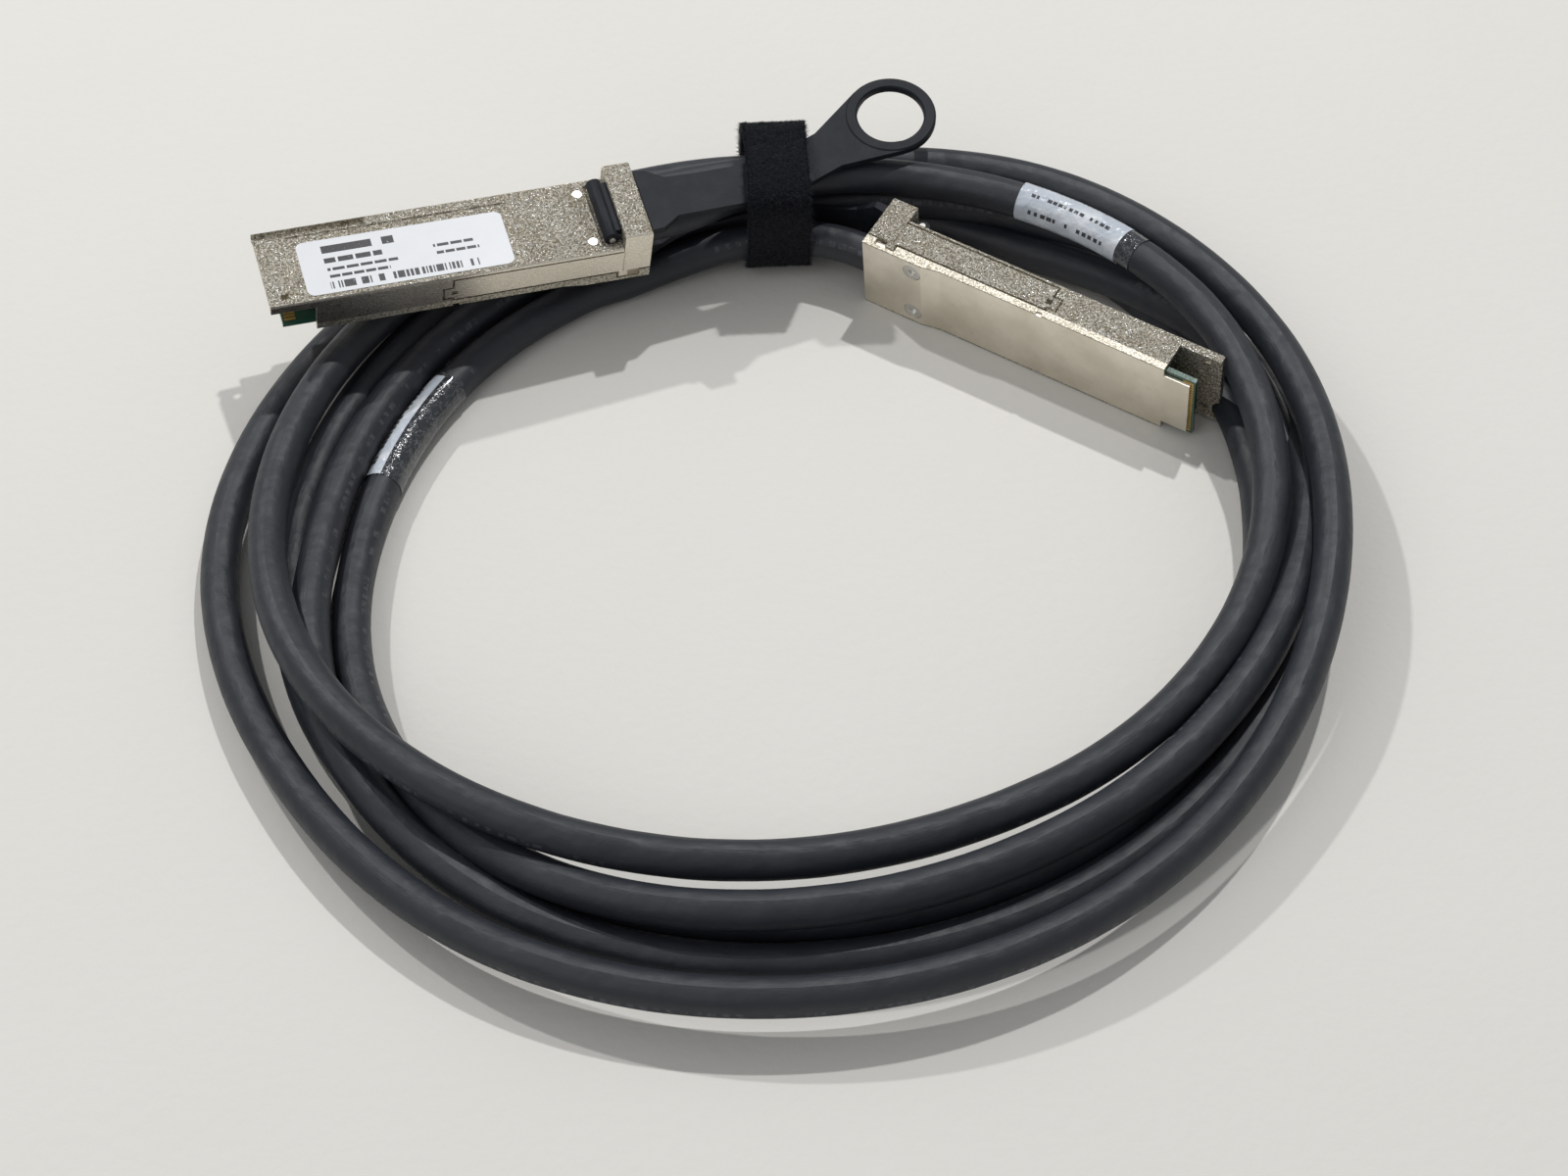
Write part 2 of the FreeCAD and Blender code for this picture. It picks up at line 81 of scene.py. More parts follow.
# %% [markdown]
# The camera stands in front of the coil and looks down on it, as a person does who has laid the
# cable on a table. A long lens keeps the coil nearly round instead of stretched.

# %% Camera
camera_data = bpy.data.cameras.new("camera")
camera_data.sensor_width = 36
camera_data.lens = 74.25
camera = bpy.data.objects.new("camera", camera_data)
bpy.context.scene.collection.objects.link(camera)
look_down = math.radians(51.1)
camera_roll = math.radians(0.6)
camera_distance = 0.598
aim = coil_centre + Vector((0, -4.0, 0)) * MM
camera.location = aim + camera_distance * Vector((0, -math.cos(look_down), math.sin(look_down)))
tilt = Matrix.Rotation(math.pi / 2 - look_down, 3, "X")
camera.rotation_euler = (tilt @ Matrix.Rotation(camera_roll, 3, "Z")).to_euler()
bpy.context.scene.camera = camera
print("camera at", [round(c, 3) for c in camera.location])

# %% [markdown]
# ## The cable
# Nearly three metres of round cable leave one plug, go five times round, and come back into the
# other plug. The cable is one line with a thickness, so its line comes first. The turns are given
# by a radius and a height every 30 degrees, clockwise from the back of the coil, and a loop fills
# in the points between. Where two turns cross, one is given more height than the other.

# %% Turns of the coil
turns = (
    ((87, 17), (93.5, 17), (95, 17.4), (88.5, 14), (78.5, 11), (72, 11.5),
     (72.4, 12), (80.6, 16), (90, 17), (94.5, 12.5), (95.5, 10.5), (96, 7.5)),
    ((93, 12.8), (102.6, 14.6), (105.2, 13.6), (99.8, 15.2), (97, 11), (97.2, 10),
     (97.7, 9), (100.2, 8), (100.4, 6), (104.2, 4), (103, 3.8), (101.5, 4.2)),
    ((98, 8), (98.3, 3.8), (95.5, 3.7), (88, 3.7), (84.5, 3.7), (81, 4),
     (80, 4.3), (84, 3.7), (90.5, 3.7), (90.5, 3.7), (91, 3.7), (92.3, 3.7)),
    ((92.3, 3.9), (91, 5.2), (98.6, 9.8), (95, 3.7), (91.5, 3.8), (88.5, 4),
     (88, 4), (91.5, 6), (91, 10.3), (84.5, 8.3), (84.5, 5.5), (86, 5.4)),
    ((86.3, 9.4), (97, 9.6), (102.5, 4.2), (95, 10.6), (86, 11), (81.5, 11.8),
     (82.5, 12), (86, 10.7), (83.5, 7), (78, 3.8), (77, 3.7), (77.5, 4.1)),
)
stations = [station for turn in turns for station in turn]
station_step = 30
first_station = 90
# A curve of order 3 cuts inside its points, so they stand this much further out.
spread = 1 / 0.9915


def between(a, b, c, d):
    """Value halfway from b to c on a smooth line through all four."""
    return (9 * (b + c) - a - d) / 16


def coil_route():
    points = []
    last = len(stations) - 1
    for i in range(len(stations)):
        if i > 0:
            r, z = stations[i]
            points.append(coil_point(r * spread, first_station - i * station_step, z))
        if i < last:
            four = [stations[min(max(i + k, 0), last)] for k in (-1, 0, 1, 2)]
            r, z = (between(*(s[k] for s in four)) for k in (0, 1))
            points.append(coil_point(r * spread, first_station - (i + 0.5) * station_step, z))
    return points


lead_a = [on_plug(plug_a, 14), on_plug(plug_a, 2), on_plug(plug_a, -9),
          coil_point(82.5, 97.5, 17.6), coil_point(87.5, 87, 17.3)]
lead_b = [coil_point(77.2, 115.5, 4.1), coil_point(78.1, 108.2, 4.7), coil_point(78.9, 101.3, 6.4),
          coil_point(78.9, 94.4, 8.2), coil_point(78.4, 87.8, 9.2), on_plug(plug_b, -6),
          on_plug(plug_b, 3), on_plug(plug_b, 14)]
route = lead_a + coil_route() + lead_b
print("route points", len(route))

# %% [markdown]
# The line of the cable is a NURBS curve, because a smooth curve bends as a stiff cable does. The
# script reads the finished curve back as a row of points. At each point it keeps the way ahead, a
# direction up that is carried along without twisting, and the distance run so far. Everything that
# sits on the cable later asks for a place by its distance along that line.

# %% Line of the cable
route_data = bpy.data.curves.new("route", "CURVE")
route_data.dimensions = "3D"
spline = route_data.splines.new("NURBS")
spline.points.add(len(route) - 1)
for point, place in zip(spline.points, route):
    point.co = (*place, 1.0)
spline.order_u = 3
spline.use_endpoint_u = True
spline.resolution_u = 8
helper = bpy.data.objects.new("route", route_data)
bpy.context.scene.collection.objects.link(helper)
bpy.context.view_layer.update()
line = [v.co.copy() for v in bpy.data.meshes.new_from_object(helper).vertices]
bpy.data.objects.remove(helper)

aheads = [(b - a).normalized() for a, b in zip(line, line[1:])]
aheads.append(aheads[-1])
ups = [Vector((0, 0, 1))]
run = [0.0]
swept = [math.degrees(math.atan2(line[0].y - coil_centre.y, line[0].x - coil_centre.x))]
for i in range(1, len(line)):
    ups.append(aheads[i - 1].rotation_difference(aheads[i]) @ ups[-1])
    run.append(run[-1] + (line[i] - line[i - 1]).length)
    here, before = line[i] - coil_centre, line[i - 1] - coil_centre
    swept.append(swept[-1] + math.degrees(before.xy.angle_signed(here.xy)) * -1)
cable_length = run[-1]
print("cable length", round(cable_length, 3), "points", len(line))
print("turns swept, degrees", round(swept[0]), "to", round(swept[-1]))


def along_at(turn, angle):
    """Distance along the cable at which a turn passes an angle seen from the coil's centre."""
    goal = angle - 360 * turn
    return run[next(i for i, a in enumerate(swept) if a <= goal)]


def cable_at(distance):
    """Middle of the cable, the way it runs and two directions across it, at a distance."""
    i = min(max(bisect.bisect_right(run, distance) - 1, 0), len(line) - 2)
    part = (distance - run[i]) / (run[i + 1] - run[i])
    ahead = aheads[i].lerp(aheads[i + 1], part).normalized()
    up = ups[i].lerp(ups[i + 1], part)
    up = (up - ahead * up.dot(ahead)).normalized()
    return line[i].lerp(line[i + 1], part), ahead, up, ahead.cross(up)


# %% [markdown]
# The jacket is a mesh bent round that line. A grid primitive brings a map of its own, one way
# round the cable and the other way along it, and the printed marks need that map. The same helper
# bends the markers round the cable later, with other angles and distances.

# %% Bending a grid round the cable
jacket_sides = 24
jacket_step = 2.8 * MM


def wrapped(name, start, end, around, along, first=0.0, last=360.0, lift=lambda u, v: 0.0):
    """A flat grid laid round the cable, from one distance to another and between two angles."""
    bpy.ops.object.select_all(action="DESELECT")
    bpy.ops.mesh.primitive_grid_add(x_subdivisions=around, y_subdivisions=along, size=1)
    piece = bpy.context.object
    piece.name = name
    for vertex in piece.data.vertices:
        u, v = vertex.co.x + 0.5, vertex.co.y + 0.5
        middle, ahead, up, aside = cable_at(start + (end - start) * v)
        a = math.radians(first + (last - first) * u)
        away = up * math.cos(a) + aside * math.sin(a)
        vertex.co = middle + away * (cable_radius + lift(u, v))
    if last - first == 360:
        bpy.ops.object.mode_set(mode="EDIT")
        bpy.ops.mesh.select_all(action="SELECT")
        bpy.ops.mesh.remove_doubles(threshold=1e-6)
        bpy.ops.object.mode_set(mode="OBJECT")
    return piece


def outwards(piece):
    """Turns every face to the outside and shades the piece smooth."""
    bpy.ops.object.select_all(action="DESELECT")
    piece.select_set(True)
    bpy.context.view_layer.objects.active = piece
    bpy.ops.object.mode_set(mode="EDIT")
    bpy.ops.mesh.select_all(action="SELECT")
    bpy.ops.mesh.normals_make_consistent(inside=False)
    bpy.ops.object.mode_set(mode="OBJECT")
    bpy.ops.object.shade_smooth_by_angle(angle=math.radians(50))


def waviness(u, v):
    """The pairs inside press softly on the jacket from within."""
    middle, _, up, _ = cable_at(cable_length * v)
    return noise.noise(middle * 160 + up * u * 3) * 0.05 * MM


rings = int(cable_length / jacket_step)
cable = wrapped("cable", 0, cable_length, jacket_sides, rings, lift=waviness)
outwards(cable)
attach(cable, "cable")
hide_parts("cable_coil", "cable_lead_a", "cable_lead_b")
print("jacket faces", len(cable.data.polygons))

# %% [markdown]
# ## Finishes
# Every finish is a small graph of shader nodes. Written out node by node it would be hard to read,
# so a socket is wrapped in a class that knows arithmetic: `dust * 0.3 + 0.1` adds two Math nodes.

# %% Node arithmetic
class Socket:
    """A shader value that can be added, multiplied and compared as in plain arithmetic."""

    def __init__(self, tree, link):
        self.tree = tree
        self.link = link

    def math(self, kind, *others):
        node = self.tree.nodes.new("ShaderNodeMath")
        node.operation = kind
        for slot, value in zip(node.inputs, (self, *others)):
            self.tree.plug(slot, value)
        return Socket(self.tree, node.outputs[0])

    def __add__(self, other):
        return self.math("ADD", other)

    def __sub__(self, other):
        return self.math("SUBTRACT", other)

    def __mul__(self, other):
        return self.math("MULTIPLY", other)

    def __gt__(self, other):
        return self.math("GREATER_THAN", other)

    def __lt__(self, other):
        return self.math("LESS_THAN", other)

    def __rsub__(self, other):
        return self * -1 + other

    __radd__ = __add__
    __rmul__ = __mul__

    def between(self, low, high):
        return (self > low) * (self < high)

    def smooth(self, low, high):
        """0 below low, 1 above high, and a soft step between them."""
        return self.tree.node("ShaderNodeMapRange", {"interpolation_type": "SMOOTHSTEP"},
                              {0: self, 1: low, 2: high, 3: 0.0, 4: 1.0})[0]


class Tree:
    """One material and the nodes that make it."""

    def __init__(self, name, **finish):
        self.material = bpy.data.materials.new(name)
        self.material.use_nodes = True
        self.nodes = self.material.node_tree.nodes
        self.links = self.material.node_tree.links
        self.shader = self.nodes["Principled BSDF"]
        for key, value in finish.items():
            self.shader.inputs[key.replace("_", " ")].default_value = value
        coords = self.nodes.new("ShaderNodeTexCoord")
        self.place = Socket(self, coords.outputs["Object"])
        self.uv = Socket(self, coords.outputs["UV"])

    def plug(self, slot, value):
        if isinstance(value, Socket):
            self.links.new(value.link, slot)
        elif isinstance(value, tuple) and slot.type == "RGBA":
            slot.default_value = (*value[:3], 1.0)
        else:
            slot.default_value = value

    def node(self, kind, settings=None, inputs=None):
        node = self.nodes.new(kind)
        for key, value in (settings or {}).items():
            setattr(node, key, value)
        for key, value in (inputs or {}).items():
            self.plug(node.inputs[key], value)
        return [Socket(self, output) for output in node.outputs]

    def noise(self, scale, detail=2.0, roughness=0.5, at=None):
        return self.node("ShaderNodeTexNoise", {}, {"Vector": at or self.place, "Scale": scale,
                         "Detail": detail, "Roughness": roughness})[0]

    def cells(self, scale, at=None):
        """Colour of the cell, as one number between 0 and 1."""
        colour = self.node("ShaderNodeTexVoronoi", {}, {"Vector": at or self.place, "Scale": scale})[1]
        return self.parts(colour)[0]

    def chance(self, value):
        """A number between 0 and 1 that is fixed for each whole value."""
        return self.node("ShaderNodeTexWhiteNoise", {"noise_dimensions": "1D"}, {"W": value})[0]

    def mix(self, amount, a, b):
        node = self.nodes.new("ShaderNodeMix")
        node.data_type = "RGBA"
        for slot, value in ((node.inputs[0], amount), (node.inputs[6], a), (node.inputs[7], b)):
            self.plug(slot, value)
        return Socket(self, node.outputs[2])

    def parts(self, vector):
        return self.node("ShaderNodeSeparateXYZ", {}, {0: vector})

    def scaled(self, factors, vector=None):
        return self.node("ShaderNodeMapping", {}, {"Vector": vector or self.place, "Scale": factors})[0]

    def local(self, plug):
        """Place in a plug's own frame, in millimetres."""
        back = plug.inverted()
        return self.node("ShaderNodeMapping", {}, {
            "Vector": self.place, "Location": tuple(back.translation / MM),
            "Rotation": tuple(back.to_euler()), "Scale": (1 / MM,) * 3})[0]

    def bump(self, height, distance, strength=1.0):
        normal = self.node("ShaderNodeBump", {}, {"Height": height, "Distance": distance,
                           "Strength": strength})[0]
        self.plug(self.shader.inputs["Normal"], normal)

    def set(self, **values):
        for key, value in values.items():
            self.plug(self.shader.inputs[key.replace("_", " ")], value)
        return self.material


def dress(piece, material):
    piece.data.materials.clear()
    piece.data.materials.append(material)
    for polygon in piece.data.polygons:
        polygon.material_index = 0


# %% [markdown]
# The jacket is extruded plastic, nearly black with a little blue in it. It is matt at arm's length,
# but it has a fine drawn grain and soft lumps, so the highlight along it breaks up. Makers print a
# line of small pale marks on it. Here the marks are plain dashes that say nothing, in groups with
# gaps between them. The cable turns over once on its way, and the line of marks turns with it.

# %% Jacket
def printed_marks(t, along, around, pitch, low, high, seed=0.0):
    """A row of plain dashes between two angles, with gaps like those between words."""
    cell = (along * (1 / pitch)).math("FLOOR")
    within = (along * (1 / pitch)).math("FRACT")
    written = t.chance(cell + seed) > 0.22
    dash = (within > 0.1) * (within < t.chance(cell + seed + 0.5) * 0.45 + 0.5)
    return dash * written * around.between(low, high)


def jacket():
    t = Tree("jacket", Specular_IOR_Level=0.5)
    around, along, _ = t.parts(t.uv)
    along = along * (cable_length / MM)
    end = cable_length / MM
    turned = 1 - along.smooth(end - 1250, end - 1000)
    flank = (around + turned * 0.4).math("FRACT")
    marks = printed_marks(t, along, flank, 2.2, 0.135, 0.185)
    group = (along * (1 / 170)).math("FRACT") < 0.66
    marks = marks * group * t.noise(900, 3).smooth(0.35, 0.6)
    lumps = t.noise(105, 2) + t.noise(320, 2) * 0.22
    drawn = t.noise(1.0, 3, 0.6, at=t.scaled((60, 900, 1), t.uv))
    fine = t.noise(7000, 2)
    scuff = t.noise(900, 4, 0.7).smooth(0.66, 0.78) * t.noise(60, 2).smooth(0.5, 0.65)
    t.bump(lumps + drawn * 0.05 + fine * 0.03, 0.0010, 0.8)
    colour = t.mix(t.noise(45, 2), (0.0150, 0.0175, 0.0235), (0.0215, 0.0250, 0.0325))
    colour = t.mix(scuff * 0.35, colour, (0.09, 0.095, 0.105))
    colour = t.mix(marks * 0.4, colour, (0.12, 0.125, 0.135))
    return t.set(Base_Color=colour, Roughness=t.noise(260, 2) * 0.14 + 0.42 + scuff * 0.12)


dress(cable, jacket())
print("jacket nodes", len(cable.active_material.node_tree.nodes))

# %% [markdown]
# The plug bodies are cast zinc with a nickel plating. They keep the blasted grain of the mould, and
# each grain turns its own way and catches the light alone, which is what makes such metal glitter.
# So one noise drives both the bump and the colour, whose light and dark is partly the casting's own tone
# and partly painted glitter, and single cells carry a painted near-white glint and are smoother than the
# rest. The side walls of the first plug are nearly smooth, with a painted shade that darkens towards the
# nose and a painted highlight towards the rear.
# The plate underneath is smooth too, with soft stains where it was handled. A finish can tell a
# side wall from a roof by the plug's own coordinates: it lies at half the plug's width.

# %% Metal finishes
def on_flank(y):
    """1 on the two side walls of a plug and 0 elsewhere."""
    return y.math("ABSOLUTE") > plug_half_width - 0.3


def cast_metal(name, plug, smooth_shaded_flanks):
    """Blasted casting, with side walls that may be made nearly smooth and given a painted shade and
    highlight.
    """
    t = Tree(name, Metallic=1.0)
    grain = t.noise(2600, 2, 0.6)
    painted_glint = t.cells(3600).smooth(0.78, 0.92)
    stain = t.noise(120, 3).smooth(0.35, 0.7)
    x, y, _ = t.parts(t.local(plug))
    flank = on_flank(y) * smooth_shaded_flanks
    blasted = 1 - flank * 0.85
    t.bump((grain + t.noise(5200, 2) * 0.3) * blasted, 0.00055, 0.9)
    # Light and dark grain in the colour: partly the casting's own tone, partly painted glitter.
    colour = t.mix(grain.smooth(0.38, 0.62), (0.26, 0.225, 0.165), (0.86, 0.80, 0.68))
    colour = t.mix(stain * 0.3, colour, (0.40, 0.34, 0.24))
    # Painted glint: single cells turn near white.
    colour = t.mix(painted_glint, colour, (1.0, 0.98, 0.92))
    # Painted shade on the side walls, dark towards the nose, and a painted highlight towards the rear.
    wall = t.mix(x.smooth(30, 42), (0.86, 0.80, 0.68), (0.25, 0.232, 0.21))
    colour = t.mix(flank * 0.88, colour, wall)
    return t.set(Base_Color=colour, Roughness=0.36 - painted_glint * 0.16 + t.noise(700, 2) * 0.08)


def satin_metal(name, light, dark, rough, plug=None):
    """Smooth plating with stains. A plug, if given, keeps grain colour on its side walls, partly painted
    glitter.
    """
    t = Tree(name, Metallic=1.0)
    stain = t.noise(70, 4, 0.6).smooth(0.32, 0.72)
    spots = t.noise(420, 4, 0.7).smooth(0.6, 0.75)
    rub = t.noise(1.0, 3, 0.6, at=t.scaled((420, 420, 2600)))
    t.bump(t.noise(2600, 3) * 0.5 + rub * 0.5, 0.00005, 0.5)
    colour = t.mix(stain, light, dark)
    colour = t.mix(spots * 0.3, colour, tuple(c * 0.6 for c in dark))
    rough = stain * 0.1 + spots * 0.12 + rough
    if plug:
        flank = on_flank(t.parts(t.local(plug))[1])
        # On the side walls the grain's light and dark is partly the casting's own tone, partly painted
        # glitter.
        grain = t.noise(2600, 2, 0.6).smooth(0.38, 0.62)
        colour = t.mix(flank, colour, t.mix(grain, (0.26, 0.235, 0.18), (0.66, 0.62, 0.54)))
        rough = rough + flank * 0.1
    return t.set(Base_Color=colour, Roughness=rough)


def plain(name, colour, other, scale=700, bump=0.00005, **finish):
    """A finish with a gentle change of colour and a faint grain."""
    t = Tree(name, **finish)
    t.bump(t.noise(scale * 4, 3), bump, 0.5)
    return t.set(Base_Color=t.mix(t.noise(scale, 3).smooth(0.3, 0.7), colour, other))


# %% [markdown]
# The label is gloss white paper under a clear film. What is printed there on a real cable belongs
# to its maker, so this one has plain blocks in the places of the lines and a band of stripes: they
# keep the weight of print on the label and say nothing.

# %% Label
label_left, label_top = 66.8, -5.1
# Left, right, top and bottom of each line of print, and the length of its blocks.
label_lines = ((4.6, 18.6, 1.6, 3.4, 14.3), (4.6, 15.8, 4.6, 5.8, 3.4),
               (4.8, 18.4, 7.0, 7.7, 2.7), (4.8, 16.6, 8.7, 9.4, 2.3),
               (25.6, 33.4, 5.4, 6.1, 2.6), (25.9, 34.2, 7.2, 7.9, 2.1))


def label_print(name, plug):
    t = Tree(name, Roughness=0.32, Coat_Weight=0.25)
    x, y, _ = t.parts(t.local(plug))
    across = label_left - x
    down = y - label_top
    ink = None
    for left, right, top, bottom, pitch in label_lines:
        block = (across * (1 / pitch)).math("FRACT") > 0.14
        block = block * across.between(left, right) * down.between(top, bottom)
        ink = block if ink is None else ink.math("MAXIMUM", block)
    stripe = t.chance((across * 3.6).math("FLOOR") + 0.5) > 0.46
    stripe = stripe * across.between(4.6, 33.6) * down.between(10.3, 12.0)
    ink = ink.math("MAXIMUM", stripe) * t.noise(2500, 2).smooth(0.2, 0.34)
    paper = t.mix(t.noise(300, 3), (0.80, 0.81, 0.83), (0.74, 0.755, 0.78))
    t.bump(t.noise(900, 2), 0.00003, 0.4)
    return t.set(Base_Color=t.mix(ink, paper, (0.03, 0.03, 0.034)))


# %% [markdown]
# Now every piece of the two plugs gets its finish. Most finishes serve both plugs. The label, the
# casting and the plate need to know which plug they are on, so they are made once for each.

# %% Dressing the plugs
finishes = {
    "return_springs": satin_metal("spring_steel", (0.6, 0.59, 0.56), (0.45, 0.43, 0.4), 0.3),
    "shell_screws": satin_metal("screw_steel", (0.78, 0.77, 0.74), (0.6, 0.58, 0.54), 0.24),
    "tab_pin": satin_metal("pin_steel", (0.6, 0.59, 0.56), (0.45, 0.43, 0.4), 0.3),
    "paddle_card": plain("board_green", (0.008, 0.06, 0.036), (0.012, 0.085, 0.05), 500,
                         Roughness=0.28, Coat_Weight=0.4),
    "contact_pads": plain("pad_gold", (0.75, 0.5, 0.17), (0.6, 0.38, 0.12),
                          Metallic=1.0, Roughness=0.28),
    "card_chips": plain("chip_black", (0.018, 0.018, 0.018), (0.03, 0.03, 0.03), Roughness=0.5),
    "crimp_ferrule": plain("copper", (0.65, 0.38, 0.24), (0.5, 0.28, 0.18),
                           Metallic=1.0, Roughness=0.35),
    "wire_pairs": plain("wire_skin", (0.45, 0.47, 0.5), (0.35, 0.37, 0.4), Roughness=0.4),
    "pull_tab": plain("tab_rubber", (0.0080, 0.0094, 0.0135), (0.0135, 0.0155, 0.0205),
                      260, 0.00012, Roughness=0.55, Specular_IOR_Level=0.22),
}
for end, plug in (("a", plug_a), ("b", plug_b)):
    for name, finish in finishes.items():
        dress(nodes["plug_%s_%s" % (end, name)], finish)
    dress(nodes["plug_%s_label" % end], label_print("label_" + end, plug))
    cast = cast_metal("cast_nickel_" + end, plug, 1.0 if end == "a" else 0.0)
    for name in ("upper_shell", "latch_yoke"):
        dress(nodes["plug_%s_%s" % (end, name)], cast)
    plate = satin_metal("satin_nickel_" + end, (0.90, 0.85, 0.745), (0.74, 0.68, 0.57),
                        0.36, plug)
    dress(nodes["plug_%s_lower_shell" % end], plate)
print("finishes", len(finishes) + 3, "on each plug")

# %% [markdown]
# Real castings and mouldings have no knife edges. A weld joins the loose triangles of the CAD
# pieces, a planar decimation turns them back into whole faces, and a narrow bevel rounds the
# corners, so that they catch a thin line of light.

# %% Soft edges
sharpest_kept = math.radians(35)
flat_enough = math.radians(1)


def soften(piece, width):
    """Weld, whole faces and a narrow bevel, all as modifiers, so that the piece itself is kept."""
    weld = piece.modifiers.new("weld", "WELD")
    weld.merge_threshold = 2e-6
    faces = piece.modifiers.new("whole_faces", "DECIMATE")
    faces.decimate_type = "DISSOLVE"
    faces.angle_limit = flat_enough
    bevel = piece.modifiers.new("edges", "BEVEL")
    bevel.width = width
    bevel.segments = 2
    bevel.limit_method = "ANGLE"
    bevel.angle_limit = sharpest_kept
    bevel.use_clamp_overlap = True


edge_widths = {"upper_shell": 0.1, "lower_shell": 0.12, "latch_yoke": 0.14,
               "pull_tab": 0.15, "shell_screws": 0.08}
for end in "ab":
    for name, width in edge_widths.items():
        soften(nodes["plug_%s_%s" % (end, name)], width * MM)
print("softened", len(edge_widths), "pieces on each plug")

# %% [markdown]
# ## Markers on the cable
# Each end carries a wrapped marker: a clear film with a white field to write on. Both are grids
# bent round the cable. The white field lies a hair above the film, so that the two never share a
# surface, and the ends of both lift a little and are not quite straight.

# %% Markers
def film_finish():
    t = Tree("marker_film", Roughness=0.16, Coat_Weight=0.6)
    fold = t.noise(420, 3, 0.6)
    painted_glare_streaks = t.noise(700, 4, 0.7).smooth(0.56, 0.72)
    painted_crease_light_and_shade = (fold - 0.5).math("ABSOLUTE")
    painted_crease_light_and_shade = 1 - painted_crease_light_and_shade.smooth(0.0, 0.03)
    t.bump(fold + painted_glare_streaks * 0.2, 0.0006, 0.8)
    # Painted glare: paler streaks on the dark film.
    colour = t.mix(painted_glare_streaks * 0.4, (0.022, 0.025, 0.031), (0.13, 0.14, 0.155))
    # Painted highlight along the folds of the film.
    colour = t.mix(painted_crease_light_and_shade * 0.25, colour, (0.3, 0.32, 0.35))
    return t.set(Base_Color=colour)


def field_finish(name, rows, length):
    t = Tree(name, Roughness=0.3, Coat_Weight=0.5)
    around, along, _ = t.parts(t.uv)
    ink = None
    for k, (low, high, pitch, strength) in enumerate(rows):
        marks = printed_marks(t, along * length, around, pitch, low, high, 11.0 * k) * strength
        marks = marks * along.between(0.1, 0.86)
        ink = marks if ink is None else ink.math("MAXIMUM", marks)
    painted_glare_and_shade = t.noise(150, 3).smooth(0.4, 0.7)
    painted_crease_light_and_shade = 1 - (t.noise(260, 3) - 0.5).math("ABSOLUTE").smooth(0.0, 0.02)
    t.bump(t.noise(300, 3), 0.0010, 0.8)
    # Painted shade and glare: the white field is mottled from a shaded bluish grey to a lit near white.
    paper = t.mix(painted_glare_and_shade, (0.50, 0.545, 0.61), (0.72, 0.75, 0.79))
    # Painted shade along the creases.
    paper = t.mix(painted_crease_light_and_shade * 0.2, paper, (0.45, 0.48, 0.54))
    return t.set(Base_Color=t.mix(ink, paper, (0.035, 0.037, 0.045)))


film = film_finish()
film_lift, field_lift = 0.10 * MM, 0.17 * MM


def torn(scale, lift):
    """Height of a wrapped sheet, which stands off the cable a little at its two ends."""
    def height(u, v):
        end = max(0.0, 1 - v / 0.05) + max(0.0, (v - 0.95) / 0.05)
        ripple = max(0.0, noise.noise(Vector((u * scale, v * 3, lift * 1e4))))
        return lift + (0.05 + 0.25 * end) * MM * ripple
    return height


def marker(name, turn, start, end, first, last, white_end, rows):
    """A film all round the cable between two angles of a turn, and a white field on part of it."""
    near, far = along_at(turn, end), along_at(turn, start)
    film_piece = wrapped(name + "_film", near, far, 40, 30, lift=torn(9, film_lift))
    length = (far - near) * white_end
    field = wrapped(name + "_field", near, near + length, 36, 30, first, last, torn(6, field_lift))
    for piece, finish in ((film_piece, film), (field, field_finish(name + "_paper", rows, length / MM))):
        outwards(piece)
        dress(piece, finish)
        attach(piece, "cable")
    print(name, "length", round((far - near) / MM, 1), "mm")
    return [film_piece, field]


# Each row of dashes: where it starts and ends round the field, its pitch in mm and its strength.
rows_a = ((0.42, 0.465, 1.2, 1.0), (0.62, 0.67, 1.4, 1.0), (0.23, 0.26, 1.0, 0.6))
rows_b = ((0.52, 0.72, 1.3, 1.0),)
on_cable = marker("marker_a", 0, 45, 62, -100, 165, 0.86, rows_a)
on_cable += marker("marker_b", 5, 149, 168, -118, 8, 0.97, rows_b)
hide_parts("cable_marker_a")
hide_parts("cable_marker_b")

# %% [markdown]
# ## The strap
# A hook-and-loop strap holds the bundle. Its way round the turns is a closed smooth line through a
# few points, given as a distance from the coil's centre and a height. The band is a grid bent round
# that line, roughened a little, and then made solid.

# %% Strap
strap_width = 12.5
strap_thickness = 0.5
strap_x = -2.8
spin = Matrix.Rotation(math.radians(4), 4, "Z")
strap_loop = ((74.9, 8.0), (73.6, 23.6), (90.7, 24.6), (97.6, 19.8), (102.5, 14.2), (104, 9),
              (98.5, 1.5), (90, 1.5), (78, 3.9))
loop_middle = [sum(p[i] for p in strap_loop) / len(strap_loop) for i in (0, 1)]
tension = 0.32


def loop_at(part):
    """Point on the smooth closed loop, as y and z in the coil's frame, and the way out of it."""
    count = len(strap_loop)
    place = part * count
    i = int(place) % count
    t = place - int(place)
    a, b, c, d = (Vector(strap_loop[(i + k) % count]) for k in (-1, 0, 1, 2))
    m0, m1 = (c - a) * tension, (d - b) * tension
    point = (2 * t**3 - 3 * t**2 + 1) * b + (t**3 - 2 * t**2 + t) * m0
    point += (-2 * t**3 + 3 * t**2) * c + (t**3 - t**2) * m1
    slope = (6 * t**2 - 6 * t) * (b - c) + (3 * t**2 - 4 * t + 1) * m0 + (3 * t**2 - 2 * t) * m1
    out = Vector((slope.y, -slope.x)).normalized()
    if out.dot(point - Vector(loop_middle)) < 0:
        out = -out
    return point, out


def on_strap(part, across, lift):
    """Place on the strap: part of the way round, across its width, and above its inner face."""
    point, out = loop_at(part % 1.0)
    y, z = point + out * lift
    place = spin @ Vector((across, y - loop_middle[0], 0))
    return coil_centre + Vector((strap_x + place.x, loop_middle[0] + place.y, max(z, 0.1))) * MM


